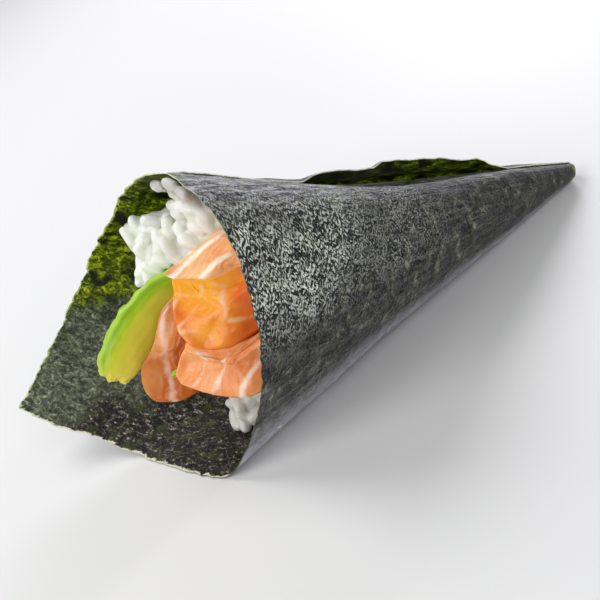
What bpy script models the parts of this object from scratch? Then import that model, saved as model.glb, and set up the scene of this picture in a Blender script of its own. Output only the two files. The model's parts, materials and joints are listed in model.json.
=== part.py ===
# Temaki hand roll: a half sheet of nori rolled into a cone round rice, salmon and avocado.
# The roll lies on its side with the open mouth toward -X and the tip toward +X.
# Every surface is drawn from the cone's apex, in millimetres, then moved and scaled to metres.
import bpy
import math
import bmesh
import numpy as np

MM = 0.001

# Nori sheet (a half sheet, 105 mm high) and how it is rolled
SHEET_HEIGHT = 105.0        # distance from the apex to the long edge that makes the mouth
SHEET_RUN = 101.6           # distance from the apex to the short edge that sweeps over the back
SHEET_THICK = 0.4
LAYER_STEP = 0.78           # rise of the outer turn over the inner one, centre to centre
TIP_CUT = 7.4               # the tip ends this far from the apex
ROLL_START, ROLL_END = -18.0, 364.0     # turn angles of the sheet's two ends, 0 is the top
FLAT_ANGLE = 385.0          # turn angle at which the unrolled sheet would reach its bottom edge

# Cone section at unit distance: radius every 30 degrees from the top round by the front
SECTION = [0.394, 0.485, 0.411, 0.333, 0.296, 0.291, 0.244, 0.216, 0.243, 0.307, 0.313, 0.342]
FLOOR_CUT, FLOOR_SOFT = 0.028, 0.014    # flattening of the underside where the roll rests
# The short edge is trimmed back a little between these turn angles (mm)
TRIM_AT = [235, 255, 280, 305, 325, 345, 364]
TRIM_BY = [0.0, 0.3, 0.6, 1.6, 1.8, 0.8, 0.0]

# Top of the cone: how far the inner turn sags (mm) at each distance from the apex
SAG_AT = [5, 12, 26, 33, 40, 47, 52, 58, 65, 70, 75, 85, 95, 105, 120]
SAG_BY = [0.0, 0.5, 1.4, 2.3, 3.1, 4.4, 5.1, 5.7, 5.5, 4.9, 4.2, 3.4, 2.8, 2.0, 1.2]
SAG_CENTRE, SAG_WIDTH = 4.0, 52.0       # degrees
# Loose last edge that stands off the cone between these distances
FLAP_AT = [20, 23, 27, 30, 38, 48, 53, 56, 60, 66, 70, 74]
FLAP_BY = [-0.6, -0.9, 0.2, 0.8, 1.0, 0.7, 0.1, -1.0, -1.6, -1.9, -2.3, -3.0]
FLAP_FROM, FLAP_TO = 22.0, 73.0
FLAP_HINGE = 322.0          # turn angle where the loose edge leaves the cone

# Rice bed
RICE_GAP = 0.6              # wall clearance from the middle of the sheet
RICE_INNER = 22.0           # the bed starts this far from the apex
RICE_CENTRE = (-0.03, 0.33)
# (across, up, distance): how far out the bed reaches at points of the unit section
RICE_FRONT = [
    (0.07, 0.57, 93.0), (-0.01, 0.575, 89.5), (0.135, 0.46, 96.0), (0.21, 0.415, 101.0),
    (0.20, 0.367, 103.0), (0.165, 0.316, 105.0), (0.146, 0.279, 106.0), (-0.02, 0.47, 89.5),
    (0.09, 0.40, 99.5), (0.03, 0.43, 94.0), (0.19, 0.52, 85.0), (0.14, 0.54, 86.0),
    (0.03, 0.525, 88.0), (0.10, 0.50, 88.5), (0.17, 0.475, 89.5),
    (-0.12, 0.60, 84.0), (-0.25, 0.56, 82.0), (-0.32, 0.45, 82.0), (-0.33, 0.30, 84.0),
    (-0.20, 0.34, 85.0), (-0.05, 0.30, 90.0), (0.24, 0.22, 95.0), (0.15, 0.15, 92.0),
    (0.05, 0.08, 92.0), (-0.03, 0.05, 93.0), (-0.125, 0.107, 103.0), (-0.14, 0.066, 105.0),
    (-0.16, 0.045, 104.0), (-0.19, 0.064, 100.0), (-0.214, 0.126, 97.0), (-0.09, 0.04, 98.0),
]
GRAIN_BUMP = 0.9            # mm, rise and fall of the bed's surface

# Salmon slices: outline of each outer end as (across, up, distance) of the unit section
SALMON_INNER = 50.0         # the slices run in to this distance from the apex
SALMON_TOP = [
    (-0.056, 0.393, 101.0), (-0.100, 0.388, 98.0), (-0.155, 0.400, 93.8), (-0.208, 0.435, 89.0),
    (-0.285, 0.462, 84.0), (-0.270, 0.530, 83.0), (-0.200, 0.535, 85.0), (-0.125, 0.505, 88.4),
    (-0.088, 0.445, 94.6),
]
SALMON_MIDDLE = [
    (-0.060, 0.371, 100.0), (-0.082, 0.325, 103.3), (-0.125, 0.273, 105.0), (-0.155, 0.254, 103.0),
    (-0.192, 0.257, 100.0), (-0.238, 0.290, 93.9), (-0.275, 0.335, 88.0), (-0.312, 0.385, 84.0),
    (-0.290, 0.445, 84.0), (-0.212, 0.420, 88.3), (-0.155, 0.385, 93.4), (-0.100, 0.374, 97.5),
]
SALMON_LOWER = [
    (-0.117, 0.255, 106.0), (-0.108, 0.225, 108.5), (-0.120, 0.203, 110.4), (-0.166, 0.184, 107.7),
    (-0.222, 0.171, 103.8), (-0.288, 0.189, 98.4), (-0.315, 0.245, 90.0), (-0.320, 0.320, 85.0),
    (-0.284, 0.318, 88.0), (-0.245, 0.282, 93.5), (-0.197, 0.248, 100.0), (-0.152, 0.242, 103.5),
]
SALMON_LEFT = [
    (-0.035, 0.338, 98.5), (-0.022, 0.303, 105.1), (-0.034, 0.250, 110.0), (-0.045, 0.206, 114.9),
    (-0.063, 0.156, 116.9), (-0.085, 0.143, 114.6), (-0.116, 0.152, 109.9), (-0.120, 0.180, 108.5),
    (-0.100, 0.205, 108.0), (-0.092, 0.235, 106.5), (-0.102, 0.262, 104.0), (-0.076, 0.310, 100.5),
]

# Avocado slice: centre line as (across, up, distance) of the unit section, and its scale there
AVOCADO_PATH = [
    (0.046, 0.300, 54.0, 0.55), (0.050, 0.312, 68.0, 0.72), (0.052, 0.318, 82.0, 0.88),
    (0.050, 0.313, 94.0, 1.00), (0.043, 0.290, 103.5, 1.10), (0.034, 0.249, 111.0, 1.16),
    (0.027, 0.212, 116.6, 1.12), (0.021, 0.187, 119.8, 0.86), (0.018, 0.176, 121.2, 0.42),
]
AVOCADO_WIDE, AVOCADO_THICK = 4.6, 3.0  # half sizes of the crescent
AVOCADO_FACE = (0.15, 0.84, -0.53)      # direction straight through the slice

CUT_GAP = 0.36              # clearance left round each filling in the rice


def periodic(values):
    """Smooth closed curve through equally spaced values; the argument counts knots."""
    y = np.array(values, float)
    n = len(y)
    m = np.zeros((n, n))
    for i in range(n):
        m[i, i] = 4.0
        m[i, (i - 1) % n] += 1.0
        m[i, (i + 1) % n] += 1.0
    second = np.linalg.solve(m, 6.0 * (np.roll(y, 1) - 2.0 * y + np.roll(y, -1)))

    def value(t):
        i = int(math.floor(t)) % n
        j = (i + 1) % n
        b = t - math.floor(t)
        a = 1.0 - b
        return a * y[i] + b * y[j] + ((a ** 3 - a) * second[i] + (b ** 3 - b) * second[j]) / 6.0

    return value


def smooth(a, b, x):
    t = min(1.0, max(0.0, (x - a) / (b - a)))
    return t * t * (3.0 - 2.0 * t)


radiusAt = periodic(SECTION)
LOWEST = min(radiusAt(w / 30.0) * math.cos(math.radians(w)) for w in range(360))


def section(w):
    """Point of the cone's section at unit distance: (across, up)."""
    r = radiusAt((w % 360.0) / 30.0)
    up = r * math.cos(math.radians(w)) - LOWEST - FLOOR_CUT
    if up < -FLOOR_SOFT:
        up = 0.0
    elif up < FLOOR_SOFT:
        up = (up + FLOOR_SOFT) ** 2 / (4.0 * FLOOR_SOFT)
    return -r * math.sin(math.radians(w)), up


def direction(w):
    y, z = section(w)
    d = np.array([-1.0, y, z])
    return d / np.linalg.norm(d)


def outward(w):
    n = np.cross(direction(w), direction(w + 0.5) - direction(w - 0.5))
    n /= np.linalg.norm(n)
    y, z = section(w)
    away = np.array([0.0, y - RICE_CENTRE[0], z - RICE_CENTRE[1]])
    return n if n @ away > 0 else -n


# Angle in the flat sheet at every turn angle: the arc length of the section on a unit sphere
TURNS = np.arange(-40.0, FLAT_ANGLE + 0.25, 0.5)
_dirs = np.array([direction(w) for w in TURNS])
_arc = np.concatenate([[0.0], np.cumsum(np.linalg.norm(np.diff(_dirs, axis=0), axis=1))])
SHEET_ANGLE = math.pi - (_arc[-1] - _arc)
CORNER_ANGLE = math.pi - math.atan2(SHEET_HEIGHT, SHEET_RUN)
CORNER_TURN = float(np.interp(CORNER_ANGLE, SHEET_ANGLE, TURNS))


def edge(w):
    """Distance from the apex to the mouth edge of the sheet."""
    theta = float(np.interp(w, TURNS, SHEET_ANGLE))
    if theta > CORNER_ANGLE:
        return SHEET_RUN / math.cos(math.pi - theta) - float(np.interp(w, TRIM_AT, TRIM_BY))
    rho = SHEET_HEIGHT / math.sin(theta)
    if w < 30.0:                        # the inner end is tucked in under the outer turn
        rho += (96.0 - rho) * (1.0 - smooth(ROLL_START, 30.0, w))
    return rho


def sag(w, rho):
    turn = (w - SAG_CENTRE + 180.0) % 360.0 - 180.0
    if abs(turn) >= SAG_WIDTH:
        return 0.0
    return float(np.interp(rho, SAG_AT, SAG_BY)) * math.cos(math.pi * turn / SAG_WIDTH / 2.0) ** 2


def standoff(w, rho):
    """Height of the sheet's middle over the plain cone."""
    step = LAYER_STEP * (0.62 + 0.38 * smooth(8.0, 30.0, rho))
    out = step * smooth(205.0, 335.0, w) - sag(w, rho)
    loose = smooth(FLAP_FROM - 3.0, FLAP_FROM + 3.0, rho) * (1.0 - smooth(FLAP_TO - 5.0, FLAP_TO, rho))
    lift = smooth(FLAP_HINGE, ROLL_END, w) * loose
    return out + lift * (float(np.interp(rho, FLAP_AT, FLAP_BY)) - out)


def surface(w, rho, lift):
    return direction(w) * rho + outward(w) * lift


def addMesh(name, points, faces, material, colour, group):
    mesh = bpy.data.meshes.new(name)
    mesh.from_pydata([tuple(float(c) for c in p) for p in points], [], faces)
    mesh.validate()
    mesh.update()
    ob = bpy.data.objects.new(name, mesh)
    group.objects.link(ob)
    if material:
        mat = bpy.data.materials.new(material)
        mat.use_nodes = True
        bsdf = mat.node_tree.nodes["Principled BSDF"]
        bsdf.inputs["Base Color"].default_value = (*colour, 1.0)
        bsdf.inputs["Roughness"].default_value = 0.5
        mesh.materials.append(mat)
    return ob


def grid(rows, columns, closed):
    """Quads between neighbouring rows of points."""
    faces = []
    for i in range(rows - 1):
        for j in range(columns if closed else columns - 1):
            k = (j + 1) % columns
            faces.append((i * columns + j, i * columns + k, (i + 1) * columns + k, (i + 1) * columns + j))
    return faces


def loft(rings, name, material, colour, group):
    """Closed body through rings of points, with a middle point over each end ring."""
    n = len(rings[0])
    points = [p for ring in rings for p in ring]
    faces = grid(len(rings), n, True)
    for ring, base, flip in ((rings[0], 0, True), (rings[-1], (len(rings) - 1) * n, False)):
        points.append(np.mean(ring, axis=0))
        tip = len(points) - 1
        for j in range(n):
            k = (j + 1) % n
            faces.append((base + k, base + j, tip) if flip else (base + j, base + k, tip))
    ob = addMesh(name, points, faces, material, colour, group)
    faceOutward(ob)
    return ob


def faceOutward(ob):
    bm = bmesh.new()
    bm.from_mesh(ob.data)
    bmesh.ops.recalc_face_normals(bm, faces=bm.faces)
    bm.to_mesh(ob.data)
    bm.free()


def applyModifiers(ob):
    depsgraph = bpy.context.evaluated_depsgraph_get()
    mesh = bpy.data.meshes.new_from_object(ob.evaluated_get(depsgraph), depsgraph=depsgraph)
    ob.modifiers.clear()
    ob.data = mesh


def boolean(ob, other, operation):
    mod = ob.modifiers.new(operation.lower(), "BOOLEAN")
    mod.operation = operation
    mod.solver = "EXACT"
    mod.object = other
    bpy.context.view_layer.update()
    applyModifiers(ob)


def makeNori(group, helpers):
    turns = [t for a, b, n in ((ROLL_START, 132.0, 21), (132.0, CORNER_TURN, 14), (CORNER_TURN, 315.0, 11),
                               (315.0, ROLL_END + 0.1, 11)) for t in np.linspace(a, b, n)[:-1]] + [ROLL_END]
    inner = [TIP_CUT, 12, 18, 24, 29, 34, 40, 46, 51, 56, 60, 64, 68, 72, 77, 83, 90]
    rows = []
    for w in turns:
        last = edge(w)
        rhos = inner + [90.0 + (last - 90.0) * t for t in (0.5, 1.0)]
        rows.append([surface(w, rho, standoff(w, rho)) for rho in rhos])
    columns = len(rows[0])
    sheet = addMesh("nori", [p for row in rows for p in row], grid(len(rows), columns, False),
                    "nori dark green", (0.02, 0.035, 0.018), group)
    mod = sheet.modifiers.new("thickness", "SOLIDIFY")
    mod.thickness = SHEET_THICK
    mod.offset = 0.0
    mod.use_even_offset = True
    bpy.context.view_layer.update()
    applyModifiers(sheet)
    faceOutward(sheet)
    # the folded end that closes the tip
    rings = []
    for rho, scale in ((15.0, 0.35), (13.0, 0.75), (11.0, 1.0), (8.5, 1.0), (TIP_CUT, 1.0), (TIP_CUT - 0.7, 0.8), (TIP_CUT - 1.1, 0.45)):
        level = max(rho, TIP_CUT)
        centre = np.array([-1.0, *RICE_CENTRE]) * level
        ring = []
        for w in range(0, 360, 18):
            p = centre + (surface(w, level, 0.0) - centre) * scale
            ring.append(p + np.array([level - rho, 0.0, 0.0]))
        rings.append(ring)
    plug = loft(rings, "tip_fold", None, None, helpers)
    boolean(sheet, plug, "UNION")
    return sheet


def riceReach(y, z):
    total, weight = 0.0, 0.0
    for a, b, reach in RICE_FRONT:
        k = 1.0 / (math.hypot(y - a, z - b) + 0.012) ** 4
        total += k * reach
        weight += k
    bump = math.sin(61.0 * y + 1.3) * math.sin(57.0 * z + 0.4) + 0.6 * math.sin(97.0 * (y + z)) * math.sin(83.0 * (y - z))
    return total / weight + GRAIN_BUMP * bump


def makeRice(group):
    count = 44
    turns = [360.0 * i / count for i in range(count)]
    rings = []
    for scale in (0.0, 0.5, 1.0):                       # inner end, a flat disc
        rings.append([wallPoint(w, RICE_INNER, scale) for w in turns])
    rings = rings[1:]
    for part in (0.17, 0.34, 0.48, 0.6, 0.72, 0.86):    # along the wall
        rings.append([wallPoint(w, RICE_INNER + (reachAt(w, 1.0) - 1.2 - RICE_INNER) * part, 1.0) for w in turns])
    for scale in (1.0, 0.97, 0.9, 0.8, 0.69, 0.57, 0.44, 0.3, 0.15):   # over the front
        drop = 1.2 if scale == 1.0 else 0.25 if scale == 0.97 else 0.0
        rings.append([wallPoint(w, reachAt(w, scale) - drop, scale) for w in turns])
    return loft(rings, "rice", "cooked rice", (0.80, 0.79, 0.76), group)


def reachAt(w, scale):
    y, z = section(w)
    cy, cz = RICE_CENTRE
    return riceReach(cy + (y - cy) * scale, cz + (z - cz) * scale)


def wallPoint(w, reach, scale):
    """Point at a share of the way from the middle line to the wall, at distance reach along -X."""
    centre = np.array([-1.0, *RICE_CENTRE]) * reach
    rho = reach / -direction(w)[0]
    wall = surface(w, rho, -RICE_GAP - sag(w, rho))
    return centre + (wall - centre) * scale


def slicePoints(outline, count):
    """Evenly spread points of a smooth closed outline."""
    curves = [periodic([p[k] for p in outline]) for k in range(3)]
    fine = np.array([[c(t) for c in curves] for t in np.arange(0, len(outline), 0.05)])
    flat = fine[:, :2]
    steps = np.linalg.norm(np.roll(flat, -1, axis=0) - flat, axis=1)
    along = np.concatenate([[0.0], np.cumsum(steps)])
    ts = np.linspace(0.0, along[-1], count, endpoint=False)
    closed = np.vstack([fine, fine[:1]])
    return np.array([[np.interp(t, along, closed[:, k]) for k in range(3)] for t in ts])


def makeSlice(outline, name, group, grow=0.0, material="raw salmon", bulge=1.2):
    """A slice that narrows toward the apex, with a rounded, slightly domed outer end."""
    pts = slicePoints(outline, 26)
    mid = pts.mean(axis=0)
    rings = []

    along = np.roll(pts[:, :2], -1, axis=0) - np.roll(pts[:, :2], 1, axis=0)
    side = np.stack([along[:, 1], -along[:, 0]], axis=1)
    side /= np.linalg.norm(side, axis=1)[:, None]
    area = np.sum(pts[:, 0] * np.roll(pts[:, 1], -1) - np.roll(pts[:, 0], -1) * pts[:, 1])
    side *= math.copysign(1.0, area)

    def ring(distances, shrink):
        """One ring, drawn in toward its own middle or (when negative) let out along its sides."""
        out = []
        for (y, z, s), dist, n in zip(pts, distances, side):
            off = np.array([y - mid[0], z - mid[1]])
            length = np.linalg.norm(off) * dist
            move = -off / np.linalg.norm(off) * shrink if shrink > 0 else -n * shrink
            if shrink > 0:
                move *= min(1.0, length / (4.0 * shrink) + 0.25)
            out.append(np.array([-dist, y * dist + move[0], z * dist + move[1]]))
        return out

    start = SALMON_INNER - grow
    rings.append(ring([start - 0.0] * len(pts), 1.2 - grow))
    rings.append(ring([start + 0.8] * len(pts), 0.1 - grow))
    reach = pts[:, 2] + (14.0 if grow else 0.0)
    for part in (0.3, 0.6, 0.85):
        rings.append(ring(start + (reach - start) * part, -grow))
    if grow:
        rings.append(ring(reach, -grow))
        rings.append(ring(reach + 0.2, 1.0))
    else:
        rings.append(ring(reach - 1.1, 0.0))
        rings.append(ring(reach - 0.35, 0.35))
        rings.append(ring(reach, 1.1))
        plane = [reach + (mid[2] - reach) * t for t in (0.28, 0.6)]
        rings.append(ring(plane[0] + bulge * 0.5, 2.6))
    body = loft(rings, name, None if grow else material, (0.85, 0.38, 0.18), group)
    if not grow:
        tip = body.data.vertices[len(body.data.vertices) - 1]
        tip.co.x -= bulge * 0.4
    return body


def makeAvocado(name, group, grow=0.0):
    """Crescent slice bent over the mouth; one long side is thicker than the other."""
    path = np.array([[-s, y * s, z * s] for y, z, s, k in AVOCADO_PATH])
    scale = [k for y, z, s, k in AVOCADO_PATH]
    through = np.array(AVOCADO_FACE) / np.linalg.norm(AVOCADO_FACE)
    rings = []
    for i in range(len(path)):
        ahead = path[min(i + 1, len(path) - 1)] - path[max(i - 1, 0)]
        ahead /= np.linalg.norm(ahead)
        wide = np.cross(ahead, through)
        wide /= np.linalg.norm(wide)
        thick = np.cross(wide, ahead)
        half, deep = AVOCADO_WIDE * scale[i] + grow, AVOCADO_THICK * scale[i] + grow
        ring = []
        for j in range(18):
            a = 2.0 * math.pi * j / 18
            u = math.cos(a)
            v = math.copysign(abs(math.sin(a)) ** 0.8, math.sin(a)) * (1.0 - 0.32 * u)
            ring.append(path[i] + wide * half * u + thick * deep * v)
        rings.append(ring)
    if grow:
        rings[0] = [p + (path[0] - path[1]) / np.linalg.norm(path[0] - path[1]) * grow for p in rings[0]]
    return loft(rings, name, None if grow else "avocado flesh", (0.55, 0.72, 0.20), group)


def main():
    for ob in list(bpy.data.objects):
        bpy.data.objects.remove(ob, do_unlink=True)
    roll = bpy.data.collections.new("temaki_hand_roll")
    helpers = bpy.data.collections.new("helpers")
    for group in (roll, helpers):
        bpy.context.scene.collection.children.link(group)

    makeNori(roll, helpers)
    rice = makeRice(roll)
    slices = (("salmon_top", SALMON_TOP), ("salmon_middle", SALMON_MIDDLE),
              ("salmon_lower", SALMON_LOWER), ("salmon_left", SALMON_LEFT))
    for name, outline in slices:
        makeSlice(outline, name, roll)
        boolean(rice, makeSlice(outline, "room_" + name, helpers, CUT_GAP), "DIFFERENCE")
    makeAvocado("avocado", roll)
    boolean(rice, makeAvocado("room_avocado", helpers, CUT_GAP), "DIFFERENCE")

    for ob in helpers.objects:
        ob.hide_render = True
        ob.display_type = "WIRE"
    corners = np.array([v.co[:] for ob in roll.objects for v in ob.data.vertices])
    low, high = corners.min(axis=0), corners.max(axis=0)
    base = np.array([(low[0] + high[0]) / 2, (low[1] + high[1]) / 2, low[2]])
    for ob in list(roll.objects) + list(helpers.objects):
        for v in ob.data.vertices:
            v.co = [(c - b) * MM for c, b in zip(v.co, base)]
        ob.data.update()


main()
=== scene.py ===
# Temaki hand roll: a half sheet of nori rolled into a cone round rice, raw salmon and avocado.
# It lies on its side with the open mouth toward -X. Blender gets metres; drawing sizes are in mm.
import bpy
import json
import math
import random
import numpy as np
from mathutils import Matrix, Vector, noise
from mathutils.bvhtree import BVHTree

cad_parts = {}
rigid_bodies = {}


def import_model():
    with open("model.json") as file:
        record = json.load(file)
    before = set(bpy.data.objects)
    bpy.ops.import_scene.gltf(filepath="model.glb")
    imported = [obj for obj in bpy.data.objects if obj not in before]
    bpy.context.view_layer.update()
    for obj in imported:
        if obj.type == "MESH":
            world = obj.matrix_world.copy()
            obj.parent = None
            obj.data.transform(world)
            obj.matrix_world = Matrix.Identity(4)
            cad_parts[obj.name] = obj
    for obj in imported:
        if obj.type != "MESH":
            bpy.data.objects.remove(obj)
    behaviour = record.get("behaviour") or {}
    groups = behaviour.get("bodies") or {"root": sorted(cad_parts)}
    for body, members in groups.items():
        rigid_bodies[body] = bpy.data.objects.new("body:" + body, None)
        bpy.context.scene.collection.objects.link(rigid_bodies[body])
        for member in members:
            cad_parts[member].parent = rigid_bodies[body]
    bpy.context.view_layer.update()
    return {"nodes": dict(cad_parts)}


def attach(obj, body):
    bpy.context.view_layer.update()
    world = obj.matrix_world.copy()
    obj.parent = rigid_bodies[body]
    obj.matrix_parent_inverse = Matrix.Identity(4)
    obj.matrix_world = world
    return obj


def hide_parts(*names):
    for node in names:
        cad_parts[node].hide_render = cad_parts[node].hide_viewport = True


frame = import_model()
bpy.ops.object.select_all(action="DESELECT")
mm = 0.001
apex = np.array([74.228, -1.466, 0.2])     # the cone's apex in the model, mm; drawings start from it


def hexColour(code):
    parts = [int(code[i:i + 2], 16) / 255.0 for i in (1, 3, 5)]
    return tuple(c / 12.92 if c <= 0.04045 else ((c + 0.055) / 1.055) ** 2.4 for c in parts) + (1.0,)


def addNode(tree, kind, links=None, **settings):
    # a link is a value, a hex colour, a socket, or a node whose first output is meant
    node = tree.nodes.new("ShaderNode" + kind)
    for key, value in settings.items():
        setattr(node, key, value)
    for socket, value in (links or {}).items():
        if isinstance(value, bpy.types.Node):
            value = next(out for out in value.outputs if out.enabled)
        if isinstance(value, bpy.types.NodeSocket):
            tree.links.new(value, node.inputs[socket])
        else:
            node.inputs[socket].default_value = hexColour(value) if isinstance(value, str) else value
    return node


def setRamp(node, stops):
    ramp = node.color_ramp
    while len(ramp.elements) > 1:
        ramp.elements.remove(ramp.elements[-1])
    ramp.elements[0].position, ramp.elements[0].color = stops[0][0], hexColour(stops[0][1])
    for place, colour in stops[1:]:
        ramp.elements.new(place).color = hexColour(colour)
    return node


def newMaterial(name):
    mat = bpy.data.materials.new(name)
    mat.use_nodes = True
    mat.node_tree.nodes.clear()
    return mat, mat.node_tree


def smoothStep(a, b, x):
    t = np.clip((x - a) / (b - a), 0.0, 1.0)
    return t * t * (3.0 - 2.0 * t)


def toModel(points):
    return (np.asarray(points, float) + apex) * mm


def getPoints(piece):
    co = np.empty(len(piece.data.vertices) * 3)
    piece.data.vertices.foreach_get("co", co)
    return co.reshape(-1, 3)


def setPoints(piece, points):
    piece.data.vertices.foreach_set("co", np.asarray(points, float).ravel())
    piece.data.update()


def activate(piece):
    bpy.ops.object.select_all(action="DESELECT")
    piece.select_set(True)
    bpy.context.view_layer.objects.active = piece


def applyModifier(piece, name):
    activate(piece)
    bpy.ops.object.modifier_apply(modifier=name)


def getNormals(piece):
    normals = np.empty(len(piece.data.vertices) * 3)
    piece.data.vertices.foreach_get("normal", normals)
    return normals.reshape(-1, 3)


def spread(piece, values, rounds):
    # evens out a value over neighbouring points
    ends = np.empty(len(piece.data.edges) * 2, dtype=int)
    piece.data.edges.foreach_get("vertices", ends)
    a, b = ends.reshape(-1, 2).T
    count = np.bincount(np.concatenate([a, b]), minlength=len(values)) + 1.0
    for k in range(rounds):
        total = values.copy()
        np.add.at(total, a, values[b])
        np.add.at(total, b, values[a])
        values = total / count
    return values


def treeOf(piece):
    mesh = piece.data
    return BVHTree.FromPolygons([v.co[:] for v in mesh.vertices], [f.vertices[:] for f in mesh.polygons])


def setFloats(piece, name, values):
    layer = piece.data.attributes.new(name, "FLOAT", "POINT")
    layer.data.foreach_set("value", np.asarray(values, float))


def closedCurve(values):
    # a smooth closed curve through evenly spaced values
    y = np.array(values, float)
    n = len(y)
    links = np.zeros((n, n))
    for i in range(n):
        links[i, i] = 4.0
        links[i, (i - 1) % n] += 1.0
        links[i, (i + 1) % n] += 1.0
    bend = np.linalg.solve(links, 6.0 * (np.roll(y, 1) - 2.0 * y + np.roll(y, -1)))

    def value(t):
        t = np.asarray(t, float)
        i = np.floor(t).astype(int) % n
        j = (i + 1) % n
        b = t - np.floor(t)
        a = 1.0 - b
        return a * y[i] + b * y[j] + ((a ** 3 - a) * bend[i] + (b ** 3 - b) * bend[j]) / 6.0

    return value


roll = {
    "sheetHeight": 105.0,       # mm, half a sheet of nori
    "sheetRun": 101.6,          # mm from the apex to the short edge
    "tipCut": 7.4,              # mm from the apex to the folded tip
    "layerStep": 0.78,          # mm from one layer of the sheet to the next
    # turns are degrees round the cone: 0 top, 90 front, 180 table, 270 back
    "firstTurn": -18.0, "lastTurn": 364.0, "flatTurn": 385.0,
    # the cone's unit section as (across, up): its middle, and how far the wall is from zero every 30 degrees
    "middle": (-0.03, 0.33),
    "section": [0.394, 0.485, 0.411, 0.333, 0.296, 0.291, 0.244, 0.216, 0.243, 0.307, 0.313, 0.342],
    "floorCut": 0.028, "floorSoft": 0.014,      # how far the table presses it flat, and how softly
    "overlapTurns": (205.0, 335.0),     # where the outer layer climbs onto the first one
    "firstReach": 96.0, "firstTo": 30.0,        # mm that the hidden first edge reaches, and up to which turn
    # mouth edge: mm taken off the short edge and mm added all round, at each turn
    "trimAt": [235, 255, 280, 305, 325, 345, 364],
    "trimBy": [0.0, 0.3, 0.6, 1.6, 1.8, 0.8, 0.0],
    "growAt": [120, 135, 148, 158, 166, 180, 188, 205, 212, 220, 236, 242, 250, 258,
               265, 272, 280, 288, 292, 296, 300, 304, 308, 314, 322, 344, 352, 364],
    "growBy": [0.0, 1.0, 2.2, 2.0, 1.5, 0.8, 0.1, 0.0, 0.6, 1.7, 1.2, 0.5, 0.9, 0.9,
               0.3, -0.2, 0.3, 0.8, 1.2, 1.2, 1.1, 1.2, 1.6, 2.4, 3.0, 3.0, 1.8, 0.6],
    # the hollow along the top: mm deep at each distance from the apex
    "sagAt": [5, 12, 26, 33, 40, 47, 52, 58, 65, 70, 75, 85, 95, 105, 120],
    "sagBy": [0.0, 0.5, 1.4, 2.3, 3.1, 4.4, 5.1, 5.7, 5.5, 4.9, 4.2, 3.4, 2.6, 1.4, 0.5],
    "sagCentre": 4.0, "sagWidth": 52.0,
    # the lower front side is drawn in along its middle, likewise
    "tuckAt": [8, 15, 22, 30, 40, 50, 60, 70, 75, 84, 92, 100, 108, 114],
    "tuckBy": [0.3, 0.55, 0.4, 0.45, 0.8, 1.1, 1.3, 1.5, 1.3, 0.85, 0.9, 0.65, 0.3, 0.0],
    "tuckCentre": 130.0, "tuckWidth": 42.0,
    # the loose last edge: mm off the cone at each distance from the apex
    "flapAt": [20, 25, 28.5, 29.6, 31.5, 33.4, 35.3, 37.2, 41, 42.9, 44.8, 46.7, 48.6,
               50.5, 52.4, 54.3, 56.2, 58, 60, 64, 66, 68, 70, 73, 75.5, 79],
    "flapBy": [-0.6, -0.9, -0.1, 0.1, 1.0, 1.5, 1.2, 1.0, 1.3, 1.6, 1.3, 1.4, 1.3,
               1.1, 1.2, 1.1, 0.8, 0.6, -0.7, -1.1, -0.95, -0.95, -1.1, -1.3, -2.0, -3.2],
    "flapFrom": 22.0, "flapTo": 79.0, "flapHinge": 322.0,
}
radiusAt = closedCurve(roll["section"])
lowest = min(float(radiusAt(turn / 30.0)) * math.cos(math.radians(turn)) for turn in range(360))


def section(turn):
    # (across, up) of the wall one unit away from the apex
    turn = np.asarray(turn, float)
    far = radiusAt((turn % 360.0) / 30.0)
    up = far * np.cos(np.radians(turn)) - lowest - roll["floorCut"]
    soft = roll["floorSoft"]
    up = np.where(up < -soft, 0.0, np.where(up < soft, (up + soft) ** 2 / (4.0 * soft), up))
    return -far * np.sin(np.radians(turn)), up


def direction(turn):
    y, z = section(turn)
    line = np.stack([-np.ones_like(y), y, z], axis=-1)
    return line / np.linalg.norm(line, axis=-1, keepdims=True)


def outward(turn):
    turn = np.asarray(turn, float)
    away = np.cross(direction(turn), direction(turn + 0.5) - direction(turn - 0.5))
    away /= np.linalg.norm(away, axis=-1, keepdims=True)
    y, z = section(turn)
    side = away[..., 1] * (y - roll["middle"][0]) + away[..., 2] * (z - roll["middle"][1])
    return away * np.sign(side)[..., None]


# the sheet laid flat: the angle round the apex that belongs to each turn
turnStep = 0.5
turnTable = np.arange(-40.0, roll["flatTurn"] + turnStep / 2, turnStep)
turnArc = np.concatenate([[0.0], np.cumsum(np.linalg.norm(np.diff(direction(turnTable), axis=0), axis=1))])
sheetAngle = math.pi - (turnArc[-1] - turnArc)
cornerAngle = math.pi - math.atan2(roll["sheetHeight"], roll["sheetRun"])


def mouthEdge(turn):
    # distance from the apex to the mouth edge; the hidden inner corner is cut round
    theta = np.interp(turn, turnTable, sheetAngle)
    back = roll["sheetRun"] / np.maximum(np.cos(math.pi - theta), 0.3)
    back = back - np.interp(turn, roll["trimAt"], roll["trimBy"])
    rho = roll["sheetHeight"] / np.sin(theta)
    hidden = 1.0 - smoothStep(roll["firstTurn"], roll["firstTo"], turn)
    rho = np.where(turn < roll["firstTo"], rho + (roll["firstReach"] - rho) * hidden, rho)
    return np.where(theta > cornerAngle, back, rho)


def drawnIn(name, turn, rho):
    # mm that the wall is drawn in along the line called sag or tuck
    width = roll[name + "Width"]
    gap = (turn - roll[name + "Centre"] + 180.0) % 360.0 - 180.0
    shape = np.cos(math.pi * gap / width / 2.0) ** 2
    return np.where(np.abs(gap) < width, np.interp(rho, roll[name + "At"], roll[name + "By"]) * shape, 0.0)


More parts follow.
